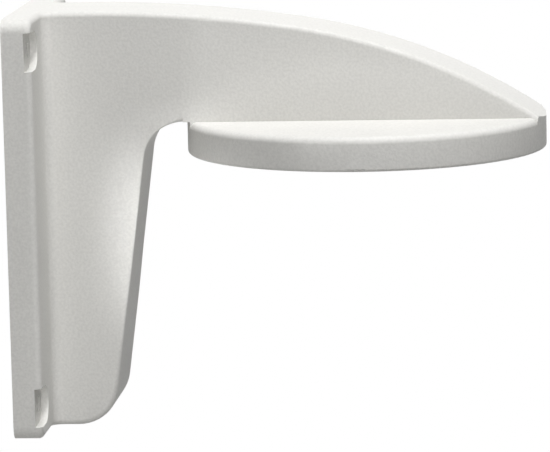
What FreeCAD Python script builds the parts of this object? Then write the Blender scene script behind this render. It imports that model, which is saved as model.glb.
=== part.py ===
"""Camera wall bracket: one moulded shell that carries a small dome camera off a wall.

A wall plate, a hollow leg that turns into an arm with a curved crown, and a round
disc that is open below are one piece. X runs away from the wall, Z runs up and Y
runs along the wall. The origin is on the wall plane, at the middle of the four wall
screws. All sizes are in millimetres and degrees.
"""

import FreeCAD, Part
import math
import os
import Sketcher

SIZES = {
    # wall plate
    "plate_width": 86.0,
    "plate_height": 142.0,
    "plate_depth": 10.0,
    "plate_corner": 4.5,
    "edge_round": 2.0,
    # wall screws and the open-ended recesses for their heads
    "screw_across": 70.0,
    "screw_up": 120.0,
    "screw_hole": 5.5,
    "recess_width": 13.0,
    "recess_depth": 2.5,
    "tube_diameter": 11.5,
    # leg and arm
    "arm_width": 34.0,
    "leg_lean": 7.7,
    "foot_radius": 14.0,
    "arch_radius": 14.0,
    "root_radius": 3.5,
    "core_round": 4.0,
    "crown_flat": 22.5,
    "crown_long_radius": 470.0,
    "crown_tip_length": 83.0,
    "crown_tip_drop": 0.8,
    # shoulders that turn the leg's sides in towards its inner edge
    "shoulder_width": 10.0,
    "shoulder_radius": 24.0,
    "shoulder_drop": 30.0,
    "shoulder_end_radius": 34.0,
    # camera disc
    "disc_diameter": 122.0,
    "disc_thickness": 11.5,
    "disc_reach": 118.0,
    "disc_top": 33.0,
    "disc_top_round": 2.5,
    "disc_bottom_round": 1.0,
    "seat_length": 8.0,
    # camera screws, in bosses under the disc
    "camera_pitch": 96.0,
    "boss_diameter": 8.0,
    "pilot_diameter": 3.0,
    "boss_count": 4,
    "boss_turn": 45.0,
    # shell
    "wall": 3.0,
    "rib": 2.0,
    "rib_spacing": 30.0,
    "rib_count": 3,
    "rib_setback": 0.5,
    "disc_rib_setback": 2.0,
    # how far a cutting core runs past the face that it opens
    "overrun": 1.0,
}

# sizes that follow from the others: the disc's ends, the join and fall of the crown's
# two arcs, and the arc that takes the shoulder out over the end of the arch
FOLLOWING = {
    "rim_near": "disc_reach - disc_diameter / 2",
    "rim_far": "disc_reach + disc_diameter / 2",
    "crown_join": "rim_far - crown_tip_length",
    "crown_slope": "(crown_join - crown_flat) / crown_long_radius",
    "crown_plumb": "sqrt(1 - crown_slope ^ 2)",
    "crown_fall": "plate_height / 2 - crown_long_radius * (1 - crown_plumb) - disc_top + crown_tip_drop",
    "crown_tip_radius": "(crown_tip_length ^ 2 + crown_fall ^ 2) / 2 "
                        "/ (crown_fall * crown_plumb - crown_tip_length * crown_slope)",
    "shoulder_offset": "arch_radius + shoulder_width",
    "lean_across": "cos(leg_lean * 1 deg)",
    "lean_up": "sin(leg_lean * 1 deg)",
    "shoulder_top_radius": "(arch_radius ^ 2 + shoulder_offset ^ 2 "
                           "- 2 * arch_radius * shoulder_offset * lean_up) / 2 "
                           "/ (shoulder_offset - arch_radius * lean_up)",
}

doc = FreeCAD.newDocument("camera_wall_bracket")
sheet = doc.addObject("Spreadsheet::Sheet", "dims")
contents = {alias: str(number) for alias, number in SIZES.items()}
contents.update({alias: "=" + formula for alias, formula in FOLLOWING.items()})
for row, (alias, content) in enumerate(contents.items(), start=1):
    sheet.set(f"A{row}", alias)
    sheet.set(f"B{row}", content)
    sheet.setAlias(f"B{row}", alias)
doc.recompute()

# places worked out from the sizes, used as the first positions of the sketch points
half_height = SIZES["plate_height"] / 2
half_width = SIZES["plate_width"] / 2
half_arm = SIZES["arm_width"] / 2
wall = SIZES["wall"]
overrun = SIZES["overrun"]
disc_top = SIZES["disc_top"]
disc_radius = SIZES["disc_diameter"] / 2
rim_near = sheet.rim_near
rim_far = sheet.rim_far
lean = math.radians(SIZES["leg_lean"])
crown_centre = (SIZES["crown_flat"], half_height - SIZES["crown_long_radius"])


def new_body(name):
    """An empty body that may hold several separate solids."""
    body = doc.addObject("PartDesign::Body", name)
    body.Label = name
    body.AllowCompound = True
    return body


def plane_of(body, role):
    """One of the body's own origin planes."""
    return next(item for item in body.Origin.OriginFeatures if item.Role == role)


def new_sketch(body, name, role, lift=None):
    """A sketch on an origin plane; lift is an expression for its height over that plane."""
    sketch = body.newObject("Sketcher::SketchObject", name)
    sketch.AttachmentSupport = (plane_of(body, role), "")
    sketch.MapMode = "FlatFace"
    if lift:
        sketch.setExpression("AttachmentOffset.Base.z", lift)
    return sketch


def segment(start, end):
    return Part.LineSegment(FreeCAD.Vector(*start, 0), FreeCAD.Vector(*end, 0))


def arc(centre, radius, first, last):
    """An arc that runs anticlockwise from the angle first to the angle last, in radians."""
    circle = Part.Circle(FreeCAD.Vector(*centre, 0), FreeCAD.Vector(0, 0, 1), radius)
    return Part.ArcOfCircle(circle, first, last)


def on_circle(centre, radius, angle):
    return (centre[0] + radius * math.cos(angle), centre[1] + radius * math.sin(angle))


def rule(sketch, *terms):
    return sketch.addConstraint(Sketcher.Constraint(*terms))


def size(sketch, kind, *terms, by):
    """A dimension on a sketch that follows an expression on the sheet's cells."""
    index = rule(sketch, kind, *terms)
    sketch.setExpression(f"Constraints[{index}]", by)


def from_origin(sketch, geo, point, across=None, up=None):
    """Places a sketch point by its distances from the origin, each an expression."""
    place = sketch.getPoint(geo, point)
    if across is not None:
        size(sketch, "DistanceX", -1, 1, geo, point, place.x, by=across)
    if up is not None:
        size(sketch, "DistanceY", -1, 1, geo, point, place.y, by=up)


def pad(body, name, sketch, length, symmetric=False):
    feature = body.newObject("PartDesign::Pad", name)
    feature.Profile = sketch
    feature.setExpression("Length", length)
    if symmetric:
        feature.SideType = "Symmetric"
    body.Tip = feature
    return feature


def pocket(body, name, sketch, length=None, symmetric=False):
    """A cut of the given length, or right through in both directions without one."""
    feature = body.newObject("PartDesign::Pocket", name)
    feature.Profile = sketch
    if length:
        feature.setExpression("Length", length)
    else:
        feature.Type = "ThroughAll"
    if symmetric:
        feature.SideType = "Symmetric"
    body.Tip = feature
    return feature


def edges_where(shape, wanted):
    """Numbers of the edges of a shape for which wanted(edge) holds."""
    return [number for number, edge in enumerate(shape.Edges, start=1) if wanted(edge)]


def middle(edge):
    return edge.valueAt((edge.FirstParameter + edge.LastParameter) / 2)


def round_edges(body, name, wanted, radius):
    """Rounds the edges of the body's last feature for which wanted(edge) holds."""
    doc.recompute()
    base = body.Tip
    chosen = [f"Edge{number}" for number in edges_where(base.Shape, wanted)]
    feature = body.newObject("PartDesign::Fillet", name)
    feature.Base = (base, chosen)
    feature.setExpression("Radius", radius)
    body.Tip = feature


def near(first, second, tolerance=0.01):
    return abs(first - second) < tolerance


def leg_outline(sketch, inset, wall_end):
    """Side outline of the leg, up to the plane where the arch meets the disc's rim.

    The inset moves every side but the wall end inwards, so that the same outline
    makes the outer form and the core of its hollow.
    """
    step = 0.0 if inset == "0" else wall
    normal = (math.cos(lean), -math.sin(lean))
    arch = (rim_near, disc_top - SIZES["arch_radius"])
    arch_r = SIZES["arch_radius"] + step
    foot_r = SIZES["foot_radius"] - step
    top = half_height - step
    line_arch = (arch[0] - arch_r * normal[0], arch[1] - arch_r * normal[1])
    foot_z = -half_height + SIZES["foot_radius"]
    reach = SIZES["arch_radius"] + SIZES["foot_radius"]
    foot_x = arch[0] + ((foot_z - arch[1]) * math.sin(lean) - reach) / math.cos(lean)
    foot = (foot_x, foot_z)
    line_foot = (foot[0] + foot_r * normal[0], foot[1] + foot_r * normal[1])
    crown_r = SIZES["crown_long_radius"] - step
    crown_angle = math.acos((rim_near - crown_centre[0]) / crown_r)
    crown_end = on_circle(crown_centre, crown_r, crown_angle)
    arch_top = (arch[0], arch[1] + arch_r)
    bottom, foot_arc, face, arch_arc, end, crown, flat, back = range(8)
    sketch.addGeometry([
        segment((wall_end, -top), (foot[0], -top)),
        arc(foot, foot_r, -math.pi / 2, -lean),
        segment(line_foot, line_arch),
        arc(arch, arch_r, math.pi / 2, math.pi - lean),
        segment(arch_top, crown_end),
        arc(crown_centre, crown_r, crown_angle, math.pi / 2),
        segment((crown_centre[0], top), (wall_end, top)),
        segment((wall_end, top), (wall_end, -top)),
    ])
    rule(sketch, "Tangent", bottom, 2, foot_arc, 1)
    rule(sketch, "Tangent", foot_arc, 2, face, 1)
    rule(sketch, "Tangent", face, 2, arch_arc, 2)
    rule(sketch, "Coincident", arch_arc, 1, end, 1)
    rule(sketch, "Coincident", end, 2, crown, 1)
    rule(sketch, "Tangent", crown, 2, flat, 1)
    rule(sketch, "Coincident", flat, 2, back, 1)
    rule(sketch, "Coincident", back, 2, bottom, 1)
    rule(sketch, "Horizontal", bottom)
    rule(sketch, "Horizontal", flat)
    rule(sketch, "Vertical", end)
    rule(sketch, "Vertical", back)
    rule(sketch, "Vertical", arch_arc, 1, arch_arc, 3)
    size(sketch, "Radius", foot_arc, foot_r, by=f"dims.foot_radius - {inset}")
    size(sketch, "Radius", arch_arc, arch_r, by=f"dims.arch_radius + {inset}")
    size(sketch, "Radius", crown, crown_r, by=f"dims.crown_long_radius - {inset}")
    size(sketch, "Angle", face, math.pi / 2 - lean, by="(90 - dims.leg_lean) * 1 deg")
    from_origin(sketch, arch_arc, 1, "dims.rim_near", f"dims.disc_top + {inset}")
    from_origin(sketch, flat, 1, "dims.crown_flat", f"dims.plate_height / 2 - {inset}")
    from_origin(sketch, bottom, 1, None, f"-(dims.plate_height / 2 - {inset})")
    if wall_end == 0:
        rule(sketch, "PointOnObject", back, 1, -2)
    else:
        from_origin(sketch, back, 1, "-dims.overrun")


def arm_outline(sketch, inset, start, step_x, low, tip):
    """Side outline of the arm over the disc, from the plane at start to the tip.

    start, step_x, low and tip are (place, expression) pairs: the near end, the step
    where the outline drops from the arch's level into the disc, the level it drops
    to, and the far end.
    """
    step = 0.0 if inset == "0" else wall
    long_r = SIZES["crown_long_radius"] - step
    tip_r = sheet.crown_tip_radius - step
    join_angle = math.acos(sheet.crown_slope)
    reach = SIZES["crown_long_radius"] - sheet.crown_tip_radius
    tip_centre = on_circle(crown_centre, reach, join_angle)
    tip_angle = math.acos((tip[0] - tip_centre[0]) / tip_r)
    start_angle = math.acos((start[0] - crown_centre[0]) / long_r)
    shelf = disc_top + step
    under, drop, sole, end, tip_arc, long_arc, back = range(7)
    sketch.addGeometry([
        segment((start[0], shelf), (step_x[0], shelf)),
        segment((step_x[0], shelf), (step_x[0], low[0])),
        segment((step_x[0], low[0]), (tip[0], low[0])),
        segment((tip[0], low[0]), on_circle(tip_centre, tip_r, tip_angle)),
        arc(tip_centre, tip_r, tip_angle, join_angle),
        arc(crown_centre, long_r, join_angle, start_angle),
        segment(on_circle(crown_centre, long_r, start_angle), (start[0], shelf)),
    ])
    for first, second in ((under, drop), (drop, sole), (sole, end), (end, tip_arc), (long_arc, back)):
        rule(sketch, "Coincident", first, 2, second, 1)
    rule(sketch, "Coincident", back, 2, under, 1)
    rule(sketch, "Tangent", tip_arc, 2, long_arc, 1)
    for level in (under, sole):
        rule(sketch, "Horizontal", level)
    for upright in (drop, end, back):
        rule(sketch, "Vertical", upright)
    size(sketch, "Radius", tip_arc, tip_r, by=f"dims.crown_tip_radius - {inset}")
    size(sketch, "Radius", long_arc, long_r, by=f"dims.crown_long_radius - {inset}")
    from_origin(sketch, long_arc, 3, "dims.crown_flat", "dims.plate_height / 2 - dims.crown_long_radius")
    from_origin(sketch, long_arc, 1, f"dims.crown_join - {inset} * dims.crown_slope")
    from_origin(sketch, under, 1, start[1], f"dims.disc_top + {inset}")
    from_origin(sketch, drop, 2, step_x[1], low[1])
    from_origin(sketch, sole, 2, tip[1])


# Leg: from the wall to the plane where the arch meets the disc's rim
leg = new_body("leg")
leg_sketch = new_sketch(leg, "leg_outline", "XZ_Plane")
leg_outline(leg_sketch, "0", 0)
pad(leg, "leg_pad", leg_sketch, "dims.arm_width", symmetric=True)

# Wall plate: a rounded rectangle
plate = new_body("wall_plate")
plate_sketch = new_sketch(plate, "plate_outline", "YZ_Plane")


def rounded_rectangle(sketch, half_across, half_up, corner, by_across, by_up, by_corner):
    """A rectangle about the sketch's origin with four equal corner arcs."""
    inner_across = half_across - corner
    inner_up = half_up - corner
    quarter = math.pi / 2
    sketch.addGeometry([
        segment((-inner_across, -half_up), (inner_across, -half_up)),
        arc((inner_across, -inner_up), corner, -quarter, 0),
        segment((half_across, -inner_up), (half_across, inner_up)),
        arc((inner_across, inner_up), corner, 0, quarter),
        segment((inner_across, half_up), (-inner_across, half_up)),
        arc((-inner_across, inner_up), corner, quarter, 2 * quarter),
        segment((-half_across, inner_up), (-half_across, -inner_up)),
        arc((-inner_across, -inner_up), corner, 2 * quarter, 3 * quarter),
    ])
    for geo in range(8):
        rule(sketch, "Tangent", geo, 2, (geo + 1) % 8, 1)
    for corner_arc in (3, 5, 7):
        rule(sketch, "Equal", 1, corner_arc)
    rule(sketch, "Horizontal", 0)
    rule(sketch, "Vertical", 2)
    rule(sketch, "Horizontal", 4)
    rule(sketch, "Vertical", 6)
    size(sketch, "Radius", 1, corner, by=by_corner)
    rule(sketch, "Symmetric", 0, 1, 4, 1, -1, 1)
    from_origin(sketch, 2, 1, by_across)
    from_origin(sketch, 4, 1, None, by_up)


rounded_rectangle(
    plate_sketch, half_width, half_height, SIZES["plate_corner"],
    "dims.plate_width / 2", "dims.plate_height / 2", "dims.plate_corner",
)
pad(plate, "plate_pad", plate_sketch, "dims.plate_depth")

# Arm: over the disc, its tip cut to the disc's round outline
arm = new_body("arm")
arm_sketch = new_sketch(arm, "arm_outline", "XZ_Plane")
arm_outline(
    arm_sketch, "0",
    (rim_near, "dims.rim_near"),
    (rim_near + SIZES["seat_length"], "dims.rim_near + dims.seat_length"),
    (disc_top - wall, "dims.disc_top - dims.wall"),
    (rim_far, "dims.rim_far"),
)
pad(arm, "arm_pad", arm_sketch, "dims.arm_width", symmetric=True)
tip_sketch = new_sketch(arm, "tip_cut", "XY_Plane")
side_turn = math.asin((half_arm + overrun) / disc_radius)
disc_centre = (SIZES["disc_reach"], 0)
beyond = rim_far + overrun
upper = on_circle(disc_centre, disc_radius, side_turn)
lower = on_circle(disc_centre, disc_radius, -side_turn)
tip_sketch.addGeometry([
    arc(disc_centre, disc_radius, -side_turn, side_turn),
    segment(upper, (beyond, upper[1])),
    segment((beyond, upper[1]), (beyond, lower[1])),
    segment((beyond, lower[1]), lower),
])
rule(tip_sketch, "Coincident", 0, 2, 1, 1)
rule(tip_sketch, "Coincident", 1, 2, 2, 1)
rule(tip_sketch, "Coincident", 2, 2, 3, 1)
rule(tip_sketch, "Coincident", 3, 2, 0, 1)
rule(tip_sketch, "Horizontal", 1)
rule(tip_sketch, "Horizontal", 3)
rule(tip_sketch, "PointOnObject", 0, 3, -1)
rule(tip_sketch, "Symmetric", 2, 1, 2, 2, -1)
size(tip_sketch, "Radius", 0, disc_radius, by="dims.disc_diameter / 2")
from_origin(tip_sketch, 0, 3, "dims.disc_reach")
from_origin(tip_sketch, 2, 1, "dims.rim_far + dims.overrun", "dims.arm_width / 2 + dims.overrun")
pocket(arm, "tip_pocket", tip_sketch, symmetric=True)
doc.recompute()


def is_crown_edge(edge):
    """The long top edges of the arm, where its crown meets its flat sides."""
    spot = middle(edge)
    on_side = near(abs(spot.y), half_arm)
    return on_side and edge.Curve.TypeId == "Part::GeomCircle"


round_edges(arm, "crown_round", is_crown_edge, "dims.edge_round")

# Disc: a thick round plate with rounded rims, and the seat that carries the arm to its rim
disc = new_body("camera_disc")
disc.setExpression("Placement.Base.x", "dims.disc_reach")


def circle(centre, radius):
    return Part.Circle(FreeCAD.Vector(*centre, 0), FreeCAD.Vector(0, 0, 1), radius)


def disc_sketch(body, name, lift, radius, by_radius):
    """One circle about the body's own upright axis."""
    sketch = new_sketch(body, name, "XY_Plane", lift)
    sketch.addGeometry([circle((0, 0), radius)])
    rule(sketch, "Coincident", 0, 3, -1, 1)
    size(sketch, "Radius", 0, radius, by=by_radius)
    return sketch


underside = "dims.disc_top - dims.disc_thickness"
round_sketch = disc_sketch(disc, "disc_outline", underside, disc_radius, "dims.disc_diameter / 2")
pad(disc, "disc_pad", round_sketch, "dims.disc_thickness")
for name, level, radius in (
    ("top_rim_round", disc_top, "dims.disc_top_round"),
    ("bottom_rim_round", disc_top - SIZES["disc_thickness"], "dims.disc_bottom_round"),
):
    round_edges(disc, name, lambda edge: near(middle(edge).z, level) and edge.isClosed(), radius)

seat = new_body("arm_seat")
seat_sketch = new_sketch(seat, "seat_outline", "XY_Plane", "dims.disc_top - dims.wall")
seat_turn = math.asin(half_arm / disc_radius)
seat_end = rim_near + 2 * SIZES["seat_length"]
near_upper = on_circle(disc_centre, disc_radius, math.pi - seat_turn)
near_lower = on_circle(disc_centre, disc_radius, math.pi + seat_turn)
seat_sketch.addGeometry([
    arc(disc_centre, disc_radius, math.pi - seat_turn, math.pi + seat_turn),
    segment(near_lower, (seat_end, near_lower[1])),
    segment((seat_end, near_lower[1]), (seat_end, near_upper[1])),
    segment((seat_end, near_upper[1]), near_upper),
])
rule(seat_sketch, "Coincident", 0, 2, 1, 1)
rule(seat_sketch, "Coincident", 1, 2, 2, 1)
rule(seat_sketch, "Coincident", 2, 2, 3, 1)
rule(seat_sketch, "Coincident", 3, 2, 0, 1)
rule(seat_sketch, "Horizontal", 1)
rule(seat_sketch, "Horizontal", 3)
rule(seat_sketch, "PointOnObject", 0, 3, -1)
rule(seat_sketch, "Symmetric", 2, 1, 2, 2, -1)
size(seat_sketch, "Radius", 0, disc_radius, by="dims.disc_diameter / 2")
from_origin(seat_sketch, 0, 3, "dims.disc_reach")
from_origin(seat_sketch, 2, 2, "dims.rim_near + 2 * dims.seat_length", "dims.arm_width / 2")
pad(seat, "seat_pad", seat_sketch, "dims.wall")

# Shoulder: the form cut from the leg's near side, in a frame on the line where it begins
shoulder = new_body("shoulder")
lean_turn = FreeCAD.Rotation(FreeCAD.Vector(0, 1, 0), SIZES["leg_lean"])
shoulder.Placement = FreeCAD.Placement(FreeCAD.Vector(0, 0, 0), lean_turn)
shoulder.setExpression("Placement.Rotation.Angle", "dims.leg_lean * 1 deg")
shoulder.setExpression("Placement.Base.x", "dims.rim_near - dims.shoulder_offset * dims.lean_across")
shoulder.setExpression("Placement.Base.y", "-dims.arm_width / 2")
shoulder.setExpression(
    "Placement.Base.z", "dims.disc_top - dims.arch_radius + dims.shoulder_offset * dims.lean_up",
)


def shoulder_section(name, lift, axis_place, by_axis_place):
    """The arc that turns the side inwards, with an upright axis that the section turns about."""
    sketch = new_sketch(shoulder, name, "XY_Plane", lift)
    radius = SIZES["shoulder_radius"]
    across = SIZES["shoulder_width"] + overrun
    turn = math.asin(across / radius)
    depth = radius * (1 - math.cos(turn))
    sketch.addGeometry([
        arc((0, radius), radius, -math.pi / 2, turn - math.pi / 2),
        segment((across, depth), (across, -overrun)),
        segment((across, -overrun), (0, -overrun)),
        segment((0, -overrun), (0, 0)),
    ])
    axis = sketch.addGeometry(segment((axis_place, 0), (axis_place, overrun)), True)
    for first, second in ((0, 1), (1, 2), (2, 3)):
        rule(sketch, "Coincident", first, 2, second, 1)
    rule(sketch, "Coincident", 3, 2, 0, 1)
    rule(sketch, "Coincident", 0, 1, -1, 1)
    rule(sketch, "PointOnObject", 0, 3, -2)
    rule(sketch, "Vertical", 1)
    rule(sketch, "Vertical", 3)
    rule(sketch, "Vertical", axis)
    rule(sketch, "PointOnObject", axis, 1, -1)
    size(sketch, "Radius", 0, radius, by="dims.shoulder_radius")
    from_origin(sketch, 2, 1, "dims.shoulder_width + dims.overrun", "-dims.overrun")
    from_origin(sketch, axis, 1, by_axis_place)
    from_origin(sketch, axis, 2, None, "dims.overrun")
    return sketch


def turned(name, sketch, angle, downward):
    """Turns a section of the shoulder about its axis, to take it off over the leg's edge."""
    feature = shoulder.newObject("PartDesign::Revolution", name)
    feature.Profile = sketch
    feature.ReferenceAxis = (sketch, ["Axis0"])
    feature.Angle = angle
    feature.Reversed = downward
    shoulder.Tip = feature


HALF_TURN = 180.0
lower_section = shoulder_section(
    "lower_section", "-dims.shoulder_drop", SIZES["shoulder_end_radius"], "dims.shoulder_end_radius",
)
upper_section = shoulder_section(
    "upper_section", None, sheet.shoulder_top_radius, "dims.shoulder_top_radius",
)
pad(shoulder, "shoulder_pad", lower_section, "dims.shoulder_drop")
turned("shoulder_end", lower_section, HALF_TURN / 2, True)
turned("shoulder_top", upper_section, HALF_TURN, False)

other_shoulder = doc.addObject("Part::Mirroring", "other_shoulder")
other_shoulder.Source = shoulder
other_shoulder.Normal = FreeCAD.Vector(0, 1, 0)

# Leg and plate together, less the shoulders, with the hollow root and every outer edge rounded
leg_on_plate = doc.addObject("Part::Fuse", "leg_on_plate")
leg_on_plate.Base = leg
leg_on_plate.Tool = plate
leg_on_plate.Refine = True
both_shoulders = doc.addObject("Part::MultiFuse", "both_shoulders")
both_shoulders.Shapes = [shoulder, other_shoulder]
leg_less_shoulders = doc.addObject("Part::Cut", "leg_less_shoulders")
leg_less_shoulders.Base = leg_on_plate
leg_less_shoulders.Tool = both_shoulders
doc.recompute()
front = new_body("front")
front.BaseFeature = leg_less_shoulders
doc.recompute()
plate_depth = SIZES["plate_depth"]
SHARP_TURN = 20.0


def is_straight(edge):
    return edge.Curve.TypeId == "Part::GeomLine"


def is_root_edge(edge):
    spot = middle(edge)
    upright = edge.Length > half_height
    return upright and near(spot.x, plate_depth) and near(abs(spot.y), half_arm)


def is_sharp(edge):
    """Whether the surface of the rounded root turns sharply across an edge."""
    faces = front.Tip.Shape.ancestorsOfType(edge, Part.Face)
    normals = [face.normalAt(*face.Surface.parameter(middle(edge))) for face in faces]
    return math.degrees(normals[0].getAngle(normals[1])) > SHARP_TURN


def is_outer_edge(edge):
    """An edge on the line that runs round the plate's front and the leg's sides."""
    spot = middle(edge)
    on_front = near(spot.x, plate_depth)
    on_side = plate_depth < spot.x < rim_near and not near(spot.x, rim_near) and abs(spot.y) > half_arm / 2
    return (on_front or on_side) and is_sharp(edge)


round_edges(front, "root_round", is_root_edge, "dims.root_radius")
round_edges(front, "outer_round", is_outer_edge, "dims.edge_round")

outer_form = doc.addObject("Part::MultiFuse", "outer_form")
outer_form.Shapes = [front, arm, disc, seat]
outer_form.Refine = True
doc.recompute()

# Core of the leg, drawn out towards the wall
leg_core = new_body("leg_core")
leg_core_sketch = new_sketch(leg_core, "leg_core_outline", "XZ_Plane")
leg_outline(leg_core_sketch, "dims.wall", -overrun)
pad(leg_core, "leg_core_pad", leg_core_sketch, "dims.arm_width - 2 * dims.wall", symmetric=True)
doc.recompute()
inner_half_arm = half_arm - wall


def is_core_front_edge(edge):
    """The core's edges behind the leg's foot, face and arch."""
    spot = middle(edge)
    on_side = near(abs(spot.y), inner_half_arm)
    along_face = is_straight(edge) and abs(spot.z) < half_height / 2 and 0 < spot.x < rim_near - overrun
    in_arc = not is_straight(edge) and spot.z < half_height - 2 * wall
    return on_side and (along_face or in_arc)


round_edges(leg_core, "core_round", is_core_front_edge, "dims.core_round")

# Core of the arm, drawn down through the disc
arm_core = new_body("arm_core")
arm_core_sketch = new_sketch(arm_core, "arm_core_outline", "XZ_Plane")
arm_outline(
    arm_core_sketch, "dims.wall",
    (rim_near - overrun, "dims.rim_near - dims.overrun"),
    (rim_near + 2 * wall, "dims.rim_near + 2 * dims.wall"),
    (disc_top - wall - overrun, "dims.disc_top - dims.wall - dims.overrun"),
    (rim_far - 2 * wall, "dims.rim_far - 2 * dims.wall"),
)
pad(arm_core, "arm_core_pad", arm_core_sketch, "dims.arm_width - 2 * dims.wall", symmetric=True)

# Core of the disc, with gaps where the screw bosses and their ribs stand
disc_core = new_body("disc_core")
disc_core.setExpression("Placement.Base.x", "dims.disc_reach")
disc_core.setExpression("Placement.Rotation.Angle", "dims.boss_turn * 1 deg")
hollow_radius = disc_radius - wall
core_floor = disc_sketch(
    disc_core, "disc_core_outline", "dims.disc_top - dims.disc_thickness - dims.overrun",
    hollow_radius, "dims.disc_diameter / 2 - dims.wall",
)
pad(disc_core, "disc_core_pad", core_floor, "dims.disc_thickness - dims.wall + dims.overrun")
boss_sketch = new_sketch(disc_core, "boss_outline", "XY_Plane", "dims.disc_top - dims.wall")
boss_spot = (SIZES["camera_pitch"] / 2, 0)
boss_sketch.addGeometry([
    circle(boss_spot, SIZES["boss_diameter"] / 2),
    circle(boss_spot, SIZES["pilot_diameter"] / 2),
])
rule(boss_sketch, "Coincident", 0, 3, 1, 3)
rule(boss_sketch, "PointOnObject", 0, 3, -1)
size(boss_sketch, "Diameter", 0, SIZES["boss_diameter"], by="dims.boss_diameter")
size(boss_sketch, "Diameter", 1, SIZES["pilot_diameter"], by="dims.pilot_diameter")
from_origin(boss_sketch, 0, 3, "dims.camera_pitch / 2")
boss_gap = pocket(disc_core, "boss_gap", boss_sketch, "dims.disc_thickness - dims.wall")
rib_sketch = new_sketch(disc_core, "boss_rib_outline", "XY_Plane", "dims.disc_top - dims.wall")


def rectangle(sketch, left, right, low, high):
    """A rectangle between four (place, expression) pairs."""
    corners = [(left[0], low[0]), (right[0], low[0]), (right[0], high[0]), (left[0], high[0])]
    sketch.addGeometry([segment(corners[index - 1], corners[index]) for index in range(4)])
    for geo in range(4):
        rule(sketch, "Coincident", geo, 2, (geo + 1) % 4, 1)
    for geo in (0, 2):
        rule(sketch, "Vertical", geo)
    for geo in (1, 3):
        rule(sketch, "Horizontal", geo)
    from_origin(sketch, 0, 2, left[1], low[1])
    from_origin(sketch, 2, 2, right[1], high[1])


rib = SIZES["rib"]
rectangle(
    rib_sketch,
    (boss_spot[0] + SIZES["boss_diameter"] / 4, "dims.camera_pitch / 2 + dims.boss_diameter / 4"),
    (disc_radius, "dims.disc_diameter / 2"),
    (-rib / 2, "-dims.rib / 2"),
    (rib / 2, "dims.rib / 2"),
)
rib_gap = pocket(disc_core, "boss_rib_gap", rib_sketch,
                 "dims.disc_thickness - dims.wall - dims.disc_rib_setback")
boss_ring = disc_core.newObject("PartDesign::PolarPattern", "boss_ring")
boss_ring.Originals = [boss_gap, rib_gap]
boss_ring.Axis = (plane_of(disc_core, "Z_Axis"), [""])
boss_ring.Angle = 360
boss_ring.setExpression("Occurrences", "dims.boss_count")
disc_core.Tip = boss_ring

# Cores of the plate, one each side of the leg, with gaps for the screw tubes and ribs
plate_core = new_body("plate_core")
side_sketch = new_sketch(plate_core, "plate_core_outline", "YZ_Plane", "-dims.overrun")
inner_top = half_height - wall
rectangle(
    side_sketch,
    (half_arm, "dims.arm_width / 2"),
    (half_width - wall, "dims.plate_width / 2 - dims.wall"),
    (-inner_top, "-(dims.plate_height / 2 - dims.wall)"),
    (inner_top, "dims.plate_height / 2 - dims.wall"),
)
pad(plate_core, "plate_core_pad", side_sketch, "dims.plate_depth - dims.wall + dims.overrun")
screw_spot = (SIZES["screw_across"] / 2, SIZES["screw_up"] / 2)


def open_slot(sketch, half_slot, by_half_slot, side_end, by_side_end):
    """A slot with a round inner end about the upper screw, open towards the plate's side."""
    across, up = screw_spot
    quarter = math.pi / 2
    sketch.addGeometry([
        arc(screw_spot, half_slot, quarter, 3 * quarter),
        segment((across, up - half_slot), (side_end, up - half_slot)),
        segment((side_end, up - half_slot), (side_end, up + half_slot)),
        segment((side_end, up + half_slot), (across, up + half_slot)),
    ])
    rule(sketch, "Tangent", 0, 2, 1, 1)
    rule(sketch, "Coincident", 1, 2, 2, 1)
    rule(sketch, "Coincident", 2, 2, 3, 1)
    rule(sketch, "Tangent", 3, 2, 0, 1)
    rule(sketch, "Horizontal", 1)
    rule(sketch, "Horizontal", 3)
    rule(sketch, "Vertical", 2)
    size(sketch, "Radius", 0, half_slot, by=by_half_slot)
    from_origin(sketch, 0, 3, "dims.screw_across / 2", "dims.screw_up / 2")
    from_origin(sketch, 2, 1, by_side_end)


core_front = "dims.plate_depth - dims.wall"
floor_sketch = new_sketch(plate_core, "recess_floor_outline", "YZ_Plane", core_front)
half_recess = SIZES["recess_width"] / 2
open_slot(floor_sketch, half_recess + wall, "dims.recess_width / 2 + dims.wall",
          half_width, "dims.plate_width / 2")
floor_gap = pocket(plate_core, "recess_floor_gap", floor_sketch, "dims.recess_depth")
tube_sketch = new_sketch(plate_core, "tube_outline", "YZ_Plane", core_front)
tube_sketch.addGeometry([circle(screw_spot, SIZES["tube_diameter"] / 2)])
size(tube_sketch, "Diameter", 0, SIZES["tube_diameter"], by="dims.tube_diameter")
from_origin(tube_sketch, 0, 3, "dims.screw_across / 2", "dims.screw_up / 2")
tube_gap = pocket(plate_core, "tube_gap", tube_sketch)
lower_ones = plate_core.newObject("PartDesign::Mirrored", "lower_screw_gaps")
lower_ones.Originals = [floor_gap, tube_gap]
lower_ones.MirrorPlane = (plane_of(plate_core, "XY_Plane"), [""])
plate_core.Tip = lower_ones
rib_line = new_sketch(plate_core, "plate_rib_outline", "YZ_Plane", core_front)
first_rib = -(SIZES["rib_count"] - 1) / 2 * SIZES["rib_spacing"]
by_first_rib = "-(dims.rib_count - 1) / 2 * dims.rib_spacing"
rectangle(
    rib_line,
    (half_arm - overrun, "dims.arm_width / 2 - dims.overrun"),
    (half_width, "dims.plate_width / 2"),
    (first_rib - rib / 2, by_first_rib + " - dims.rib / 2"),
    (first_rib + rib / 2, by_first_rib + " + dims.rib / 2"),
)
plate_rib_gap = pocket(plate_core, "plate_rib_gap", rib_line,
                       "dims.plate_depth - dims.wall - dims.rib_setback")
rib_row = plate_core.newObject("PartDesign::LinearPattern", "plate_rib_row")
rib_row.Originals = [plate_rib_gap]
rib_row.Direction = (plane_of(plate_core, "Z_Axis"), [""])
rib_row.setExpression("Length", "(dims.rib_count - 1) * dims.rib_spacing")
rib_row.setExpression("Occurrences", "dims.rib_count")
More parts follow.
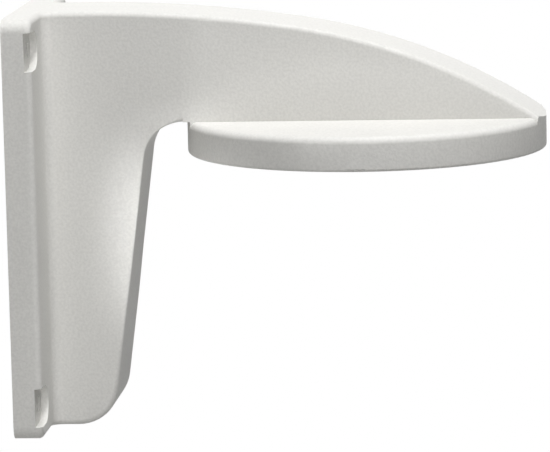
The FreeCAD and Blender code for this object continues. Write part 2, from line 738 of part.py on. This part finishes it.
plate_core.Tip = rib_row

# Screw holes and the recesses for the screw heads
screw_cuts = new_body("screw_cuts")
recess_sketch = new_sketch(screw_cuts, "recess_outline", "YZ_Plane", "dims.plate_depth - dims.recess_depth")
open_slot(recess_sketch, half_recess, "dims.recess_width / 2",
          half_width + overrun, "dims.plate_width / 2 + dims.overrun")
recess = pad(screw_cuts, "recess", recess_sketch, "dims.recess_depth + dims.overrun")
hole_sketch = new_sketch(screw_cuts, "hole_outline", "YZ_Plane", "-dims.overrun")
hole_sketch.addGeometry([circle(screw_spot, SIZES["screw_hole"] / 2)])
size(hole_sketch, "Diameter", 0, SIZES["screw_hole"], by="dims.screw_hole")
from_origin(hole_sketch, 0, 3, "dims.screw_across / 2", "dims.screw_up / 2")
hole = pad(screw_cuts, "hole", hole_sketch, "dims.plate_depth + dims.overrun")
corners = screw_cuts.newObject("PartDesign::MultiTransform", "four_corners")
corners.Originals = [recess, hole]
mirrors = []
for name, role in (("other_side", "XZ_Plane"), ("lower_end", "XY_Plane")):
    mirror = screw_cuts.newObject("PartDesign::Mirrored", name)
    mirror.MirrorPlane = (plane_of(screw_cuts, role), [""])
    mirrors.append(mirror)
corners.Transformations = mirrors
screw_cuts.Tip = corners

other_plate_core = doc.addObject("Part::Mirroring", "other_plate_core")
other_plate_core.Source = plate_core
other_plate_core.Normal = FreeCAD.Vector(0, 1, 0)

cores = doc.addObject("Part::MultiFuse", "cores")
cores.Shapes = [leg_core, arm_core, disc_core, plate_core, other_plate_core, screw_cuts]
cores.Refine = False
bracket = doc.addObject("Part::Cut", "bracket_body")
bracket.Base = outer_form
bracket.Tool = cores
bracket.Refine = True
bracket.Label = "bracket_body"
doc.recompute()

failed = [item.Name for item in doc.Objects if "Invalid" in item.State or "Error" in item.State]
if failed:
    raise RuntimeError("not built: " + ", ".join(failed))
if bracket.Shape.isNull() or not bracket.Shape.isValid() or len(bracket.Shape.Solids) != 1:
    raise RuntimeError("the bracket is not one sound solid")

os.makedirs("parts", exist_ok=True)
bracket.Shape.exportStep(os.path.join("parts", bracket.Label + ".step"))
print(f"bracket: one solid of {bracket.Shape.Volume:.0f} mm3")
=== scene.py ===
# %% [markdown]
# # A moulded camera wall bracket
# The real bracket is one piece of pale grey plastic: a wall plate, a hollow leg that
# leans out and turns into an arm with a long curved crown, and a round disc under the
# arm's end that a small dome camera hangs from. It came out of one mould, so it has
# no seams. Everything here is in metres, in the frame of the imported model: X runs
# away from the wall, Z runs up, and the camera looks along Y.

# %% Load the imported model
import math

import bmesh
import bpy
from mathutils import Matrix, Vector


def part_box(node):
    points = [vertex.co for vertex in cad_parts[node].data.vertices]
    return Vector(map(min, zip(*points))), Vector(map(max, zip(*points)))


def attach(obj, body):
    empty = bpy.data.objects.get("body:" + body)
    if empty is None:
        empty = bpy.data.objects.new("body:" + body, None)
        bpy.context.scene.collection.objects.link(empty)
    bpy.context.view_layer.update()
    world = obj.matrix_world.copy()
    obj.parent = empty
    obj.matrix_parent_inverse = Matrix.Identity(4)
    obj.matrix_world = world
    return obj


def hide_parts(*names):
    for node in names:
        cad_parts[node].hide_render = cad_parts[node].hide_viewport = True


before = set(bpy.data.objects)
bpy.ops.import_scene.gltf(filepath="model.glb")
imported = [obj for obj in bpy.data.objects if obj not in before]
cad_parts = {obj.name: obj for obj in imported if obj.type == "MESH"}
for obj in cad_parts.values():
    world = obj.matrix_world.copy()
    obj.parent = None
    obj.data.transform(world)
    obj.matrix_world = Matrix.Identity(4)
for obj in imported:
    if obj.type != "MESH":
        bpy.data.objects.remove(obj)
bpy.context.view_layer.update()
shell_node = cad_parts["bracket_body"]
low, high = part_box("bracket_body")
print("the model's box runs from", tuple(low), "to", tuple(high))

# %% [markdown]
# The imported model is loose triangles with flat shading, which is right for measuring
# but shows every facet of a curve. A visible skin could be modelled afresh with
# subdivision surfaces, but the solid already has each curve in its true place. So
# the skin is a copy of it, with the loose triangles merged into one closed surface.

# %% Merge the copy into one closed skin
MERGE = 2e-6


def merged(source):
    """A node's mesh with its loose triangles joined into one surface."""
    mesh = bmesh.new()
    mesh.from_mesh(source.data)
    bmesh.ops.remove_doubles(mesh, verts=mesh.verts, dist=MERGE)
    bmesh.ops.dissolve_degenerate(mesh, dist=MERGE, edges=mesh.edges)
    print(len(mesh.verts), "corners and", len(mesh.faces), "triangles after the merge")
    return mesh


closed_shell = merged(shell_node)

# %% [markdown]
# In the picture the leg's inner edge is crisp: a bright side stops at once at a dark
# inner face. So the skin tightens that one rounding. A corner in it lies at a depth
# under the inner face and at a depth under the side, both less than the rounding's
# radius. The share of the radius that each depth leaves over is raised to a power
# below one. That makes both depths smaller, so the corner moves out towards the true
# edge and stays between the two faces. The change fades out at the foot and at the
# disc.

# %% Tighten the leg's inner edge
LEAN = math.radians(7.7)
ARCH = Vector((0.057, 0.019))
ARCH_RADIUS = 0.014
HALF_ARM = 0.017
ROUND = 0.002
SHOULDER_WIDTH = 0.010
SHOULDER_RADIUS = 0.024
SHOULDER_DROP = 0.030
SHOULDER_END_RADIUS = 0.034
TIGHT = 0.35
FADE_LOW = (-0.057, -0.050)
FADE_DISC = (0.0565, 0.0530)
across = Vector((math.cos(LEAN), -math.sin(LEAN)))
along = Vector((math.sin(LEAN), math.cos(LEAN)))
reach = ARCH_RADIUS + SHOULDER_WIDTH
begin = ARCH - reach * across
# The shoulder's upper arc leaves its start along the leg and passes the arch's top.
top_radius = (ARCH_RADIUS ** 2 + reach ** 2 - 2 * ARCH_RADIUS * reach * math.sin(LEAN)) / 2
top_radius /= reach - ARCH_RADIUS * math.sin(LEAN)
top_centre = begin + top_radius * across
# Its lower arc turns out over the edge from the straight part's end.
end_centre = begin - SHOULDER_DROP * along + SHOULDER_END_RADIUS * across


def inner_face(spot):
    """Depth of a point under the leg's inner face, and the way out of it."""
    away = spot - ARCH
    if away.dot(along) > 0:
        return away.length - ARCH_RADIUS, -away.normalized()
    return -away.dot(across) - ARCH_RADIUS, across


def side_place(spot):
    """How far the leg's side lies from the middle plane at a point of its outline."""
    up = (spot - begin).dot(along)
    if up > 0:
        inward = top_radius - (spot - top_centre).length
    elif up > -SHOULDER_DROP:
        inward = (spot - begin).dot(across)
    else:
        inward = SHOULDER_END_RADIUS - (spot - end_centre).length
    inward = min(max(inward, 0.0), SHOULDER_WIDTH + ROUND)
    return HALF_ARM - SHOULDER_RADIUS + math.sqrt(SHOULDER_RADIUS ** 2 - inward ** 2)


def ramp(value, start, stop):
    """How far a value has come from start to stop, from 0 to 1."""
    return min(max((value - start) / (stop - start), 0.0), 1.0)


def tighten(mesh):
    """Pulls the rounding of the leg's inner edges out towards their corner."""
    moved = 0
    for corner in mesh.verts:
        x, y, z = corner.co
        share = ramp(z, *FADE_LOW) * ramp(x, *FADE_DISC)
        if share == 0 or z > ARCH.y + ARCH_RADIUS + ROUND:
            continue
        spot = Vector((x, z))
        depth, outward = inner_face(spot)
        under = side_place(spot) - abs(y)
        if not (-MERGE < depth < ROUND and -MERGE < under < ROUND):
            continue
        power = 1 + (TIGHT - 1) * share
        new_depth, new_under = (
            ROUND * (1 - ramp(value, ROUND, 0.0) ** power) for value in (depth, under)
        )
        spot += (depth - new_depth) * outward
        new_y = side_place(spot) - new_under
        corner.co = (spot.x, math.copysign(new_y, y), spot.y)
        moved += 1
    print("moved", moved, "corners of the inner edge")


tighten(closed_shell)

# %% [markdown]
# The bracket's faces flow into each other through roundings, and only its rims and
# the mouths of its holes are crisp. A modifier could find the crisp edges, but they
# can as well be marked in the mesh itself. Each edge that turns less than a set
# angle is shaded smooth, so that curves run on without facets. This comes last, when
# every corner is in its place.

# %% Shade the skin
SHARP_TURN = math.radians(28)


def shaded_skin(mesh, name):
    """An object from the mesh, smooth but for its sharp edges."""
    for face in mesh.faces:
        face.smooth = True
    for edge in mesh.edges:
        edge.smooth = not (edge.is_manifold and edge.calc_face_angle(0) > SHARP_TURN)
    open_edges = sum(1 for edge in mesh.edges if not edge.is_manifold)
    skin = bpy.data.meshes.new(name)
    mesh.to_mesh(skin)
    mesh.free()
    piece = bpy.data.objects.new(name, skin)
    bpy.context.scene.collection.objects.link(piece)
    print(name, "has", len(skin.polygons), "faces and", open_edges, "open edges")
    return piece


bracket = shaded_skin(closed_shell, "bracket_skin")

# %% [markdown]
# The plastic is a pale warm grey with a satin surface. The mould's steel was
# textured by spark erosion, which leaves grains a little under a millimetre apart.
# A bump alone would show only where light grazes it, but the grain can be seen on
# every side, because its pits also hold light back. So one fine noise drives both a
# shallow bump and painted shade that makes the pits up to a tenth darker. A slow
# noise shifts the tone by a percent or two and the roughness by a few, as the melt's
# flow does. A pitted face mirrors little at a flat angle, where a polished one would
# turn white, so the sheen is held low.

# %% Moulded satin plastic
GRAIN = 0.0009
GRAIN_DETAIL = 1.0
WAVE = 0.030
WAVE_DETAIL = 2.0
NOISE_RANGE = (0.3, 0.7)
# How dark the painted shade in the grain's pits makes the colour, and how much of it shows.
PIT_SHADE_DEPTH = 0.895
PIT_SHADE_SHARE = (0.0, 0.8)
DRIFT_SHARE = (0.0, 0.2)
GLOSS_RANGE = (0.46, 0.52)
BUMP_STRENGTH = 0.6
BUMP_HEIGHT = 0.00008
SHADE = (0.808, 0.800, 0.772)
SHEEN = 0.2
PLASTIC_IOR = 1.49


def noise(tree, coordinates, size, detail):
    """A noise whose features are about size metres across."""
    node = tree.nodes.new("ShaderNodeTexNoise")
    node.inputs["Scale"].default_value = 1 / size
    node.inputs["Detail"].default_value = detail
    tree.links.new(coordinates, node.inputs["Vector"])
    return node.outputs["Fac"]


def spread(tree, value, low_end, high_end):
    """Maps the middle of a noise onto the range from low_end to high_end."""
    node = tree.nodes.new("ShaderNodeMapRange")
    sockets = ("From Min", "From Max", "To Min", "To Max")
    for socket, number in zip(sockets, (*NOISE_RANGE, low_end, high_end)):
        node.inputs[socket].default_value = number
    tree.links.new(value, node.inputs["Value"])
    return node.outputs["Result"]


def moulded_plastic(name, shade):
    """A satin plastic whose fine noise drives both its bump and a painted shade in its pits."""
    material = bpy.data.materials.new(name)
    material.use_nodes = True
    tree = material.node_tree
    surface = tree.nodes["Principled BSDF"]
    place = tree.nodes.new("ShaderNodeTexCoord").outputs["Object"]
    slow = noise(tree, place, WAVE, WAVE_DETAIL)
    fine = noise(tree, place, GRAIN, GRAIN_DETAIL)
    tone = tree.nodes.new("ShaderNodeMix")
    tone.data_type = "RGBA"
    tone.inputs["A"].default_value = (*[channel * PIT_SHADE_DEPTH for channel in shade], 1)
    tone.inputs["B"].default_value = (*shade, 1)
    # Painted shade in the grain's pits from the fine noise, plus the plastic's own slow drift
    # in tone.
    pit_shade_and_drift = tree.nodes.new("ShaderNodeMath")
    pit_shade_and_drift.operation = "ADD"
    tree.links.new(spread(tree, fine, *PIT_SHADE_SHARE), pit_shade_and_drift.inputs[0])
    tree.links.new(spread(tree, slow, *DRIFT_SHARE), pit_shade_and_drift.inputs[1])
    tree.links.new(pit_shade_and_drift.outputs["Value"], tone.inputs["Factor"])
    tree.links.new(tone.outputs["Result"], surface.inputs["Base Color"])
    tree.links.new(spread(tree, slow, *GLOSS_RANGE), surface.inputs["Roughness"])
    grain = tree.nodes.new("ShaderNodeBump")
    grain.inputs["Strength"].default_value = BUMP_STRENGTH
    grain.inputs["Distance"].default_value = BUMP_HEIGHT
    tree.links.new(fine, grain.inputs["Height"])
    tree.links.new(grain.outputs["Normal"], surface.inputs["Normal"])
    surface.inputs["IOR"].default_value = PLASTIC_IOR
    surface.inputs["Specular IOR Level"].default_value = SHEEN
    return material


plastic = moulded_plastic("moulded_plastic", SHADE)
bracket.data.materials.append(plastic)
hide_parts("bracket_body")
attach(bracket, "root")
print("the skin wears", plastic.name)

# %% [markdown]
# The bracket hangs in the clear, as it would on a wall that the eye ignores, so the
# floor lies well below it and only sends light back up. The camera, and whatever is
# mirrored in the plastic, sees the floor and the room as plain white, while the soft
# light on the object comes from lamps and a dim even room. The floor is clear from
# below, so that the open underside of the disc can be looked at too.

# %% Floor and room
WHITE = (1, 1, 1, 1)
WHITE_LEVEL = 1.0
FLOOR_DROP = 0.45
FLOOR_REACH = 6.0
FLOOR_ROUGHNESS = 0.9
FLOOR_TONE = (0.26, 0.26, 0.25, 1)
ROOM_STRENGTH = 0.015


def white_to_camera(tree, shader):
    """Swaps a shader for plain white where a camera, mirror or glass ray meets it."""
    path = tree.nodes.new("ShaderNodeLightPath")
    seen = path.outputs["Is Camera Ray"]
    for ray in ("Is Glossy Ray", "Is Transmission Ray"):
        either = tree.nodes.new("ShaderNodeMath")
        either.operation = "MAXIMUM"
        tree.links.new(seen, either.inputs[0])
        tree.links.new(path.outputs[ray], either.inputs[1])
        seen = either.outputs["Value"]
    kind = "ShaderNodeBackground" if shader.type == "BACKGROUND" else "ShaderNodeEmission"
    white = tree.nodes.new(kind)
    white.inputs["Color"].default_value = WHITE
    white.inputs["Strength"].default_value = WHITE_LEVEL
    swap = tree.nodes.new("ShaderNodeMixShader")
    tree.links.new(seen, swap.inputs["Fac"])
    tree.links.new(shader.outputs[0], swap.inputs[1])
    tree.links.new(white.outputs[0], swap.inputs[2])
    return swap.outputs["Shader"]


def pale_floor(level, reach):
    """A square floor that can't be seen from below."""
    mesh = bpy.data.meshes.new("floor")
    signs = ((-1, -1), (1, -1), (1, 1), (-1, 1))
    corners = [(x * reach, y * reach, level) for x, y in signs]
    mesh.from_pydata(corners, [], [(0, 1, 2, 3)])
    floor = bpy.data.objects.new("floor", mesh)
    bpy.context.scene.collection.objects.link(floor)
    material = bpy.data.materials.new("pale_floor")
    material.use_nodes = True
    tree = material.node_tree
    surface = tree.nodes["Principled BSDF"]
    surface.inputs["Base Color"].default_value = FLOOR_TONE
    surface.inputs["Roughness"].default_value = FLOOR_ROUGHNESS
    side = tree.nodes.new("ShaderNodeNewGeometry")
    clear = tree.nodes.new("ShaderNodeBsdfTransparent")
    one_sided = tree.nodes.new("ShaderNodeMixShader")
    tree.links.new(side.outputs["Backfacing"], one_sided.inputs["Fac"])
    tree.links.new(white_to_camera(tree, surface), one_sided.inputs[1])
    tree.links.new(clear.outputs["BSDF"], one_sided.inputs[2])
    tree.links.new(one_sided.outputs["Shader"], tree.nodes["Material Output"].inputs["Surface"])
    mesh.materials.append(material)
    return floor


floor_level = low.z - FLOOR_DROP
floor = pale_floor(floor_level, FLOOR_REACH)
world = bpy.data.worlds.new("room")
bpy.context.scene.world = world
world.use_nodes = True
room = world.node_tree.nodes["Background"]
room.inputs["Color"].default_value = WHITE
room.inputs["Strength"].default_value = ROOM_STRENGTH
world.node_tree.links.new(
    white_to_camera(world.node_tree, room),
    world.node_tree.nodes["World Output"].inputs["Surface"],
)
print("the floor lies at", round(floor_level, 3), "m, the room's strength is", ROOM_STRENGTH)

# %% [markdown]
# A lamp high above makes the crown and the disc's top the brightest faces. It stands
# far enough out to graze the plate's front but not the leg's inner face, which leans
# away from it and so stays dark. The key stands high in front, a little to the right,
# and a lower lamp fills in from the front, so that the flat side is a shade darker
# than the tops. A lamp behind the wall plate keeps the hidden sides out of the dark.
# The picture has a bright band down the leg's inner edge and none beside it, which no
# broad lamp gives, so two focused ones throw small pools there.

# %% Lamps
POOL_BLEND = 1.0
POOL_SOURCE = 0.02


def placed_lamp(light, place, target, power):
    """A lamp with that light at place, turned towards target."""
    light.energy = power
    lamp = bpy.data.objects.new(light.name, light)
    aim = (Vector(target) - Vector(place)).to_track_quat("-Z", "Y")
    lamp.matrix_world = Matrix.Translation(place) @ aim.to_matrix().to_4x4()
    bpy.context.scene.collection.objects.link(lamp)
    return lamp


def soft_lamp(name, place, target, size, power):
    """A square area lamp."""
    light = bpy.data.lights.new(name, "AREA")
    light.shape = "SQUARE"
    light.size = size
    return placed_lamp(light, place, target, power)


def pool_lamp(name, place, target, radius, power):
    """A focused lamp that throws a soft pool of that radius around the target."""
    light = bpy.data.lights.new(name, "SPOT")
    distance = (Vector(target) - Vector(place)).length
    light.spot_size = 2 * math.atan(radius / distance)
    light.spot_blend = POOL_BLEND
    light.shadow_soft_size = POOL_SOURCE
    return placed_lamp(light, place, target, power)


middle = (low + high) / 2
lamps = [
    soft_lamp("overhead", (0.34, -0.15, 2.0), middle, 0.6, 36.5),
    soft_lamp("key", (0.46, -1.10, 0.93), middle, 0.8, 6.5),
    soft_lamp("front", (0.14, -1.48, -0.28), (0.06, 0.0, -0.03), 0.7, 6.2),
    soft_lamp("rear", (-0.90, 0.80, 0.30), middle, 0.8, 5.0),
    pool_lamp("upper_pool", (0.06, -1.40, 0.006), (0.0583, -0.017, 0.006), 0.0230, 95.0),
    pool_lamp("lower_pool", (0.06, -1.40, -0.017), (0.0570, -0.017, -0.017), 0.0235, 68.0),
]
print("lamps:", ", ".join(lamp.name for lamp in lamps))

# %% [markdown]
# The photograph was taken from the side with a long lens, a little above the disc
# and turned a few degrees towards the wall. The place and the turn were found by
# fitting the bracket's rims and edges to the picture, and are given as they came out.

# %% Camera
EYE = Vector((0.21879, -1.38544, 0.20762))
YAW = 0.0957
PITCH = 0.1518
ROLL = -0.0234
IMAGE_WIDTH = 550
FOCAL_PIXELS = 4113.9
SENSOR = 36.0
FAR_CLIP = 100


def studio_camera():
    """The camera that took the picture, turned by its yaw, pitch and roll."""
    level = Vector((math.cos(YAW), math.sin(YAW), 0))
    forward = Vector((-math.sin(YAW), math.cos(YAW), 0))
    ahead = math.cos(PITCH) * forward + Vector((0, 0, -math.sin(PITCH)))
    over = level.cross(ahead)
    right = math.cos(ROLL) * level + math.sin(ROLL) * over
    up = math.cos(ROLL) * over - math.sin(ROLL) * level
    data = bpy.data.cameras.new("camera")
    data.sensor_width = SENSOR
    data.lens = FOCAL_PIXELS / IMAGE_WIDTH * SENSOR
    data.clip_end = FAR_CLIP
    camera = bpy.data.objects.new("camera", data)
    turn = Matrix((right, up, -ahead)).transposed()
    camera.matrix_world = Matrix.Translation(EYE) @ turn.to_4x4()
    bpy.context.scene.collection.objects.link(camera)
    return camera


camera = studio_camera()
bpy.context.scene.camera = camera
bpy.context.scene.view_settings.view_transform = "Standard"
print("lens", round(camera.data.lens, 1), "mm")
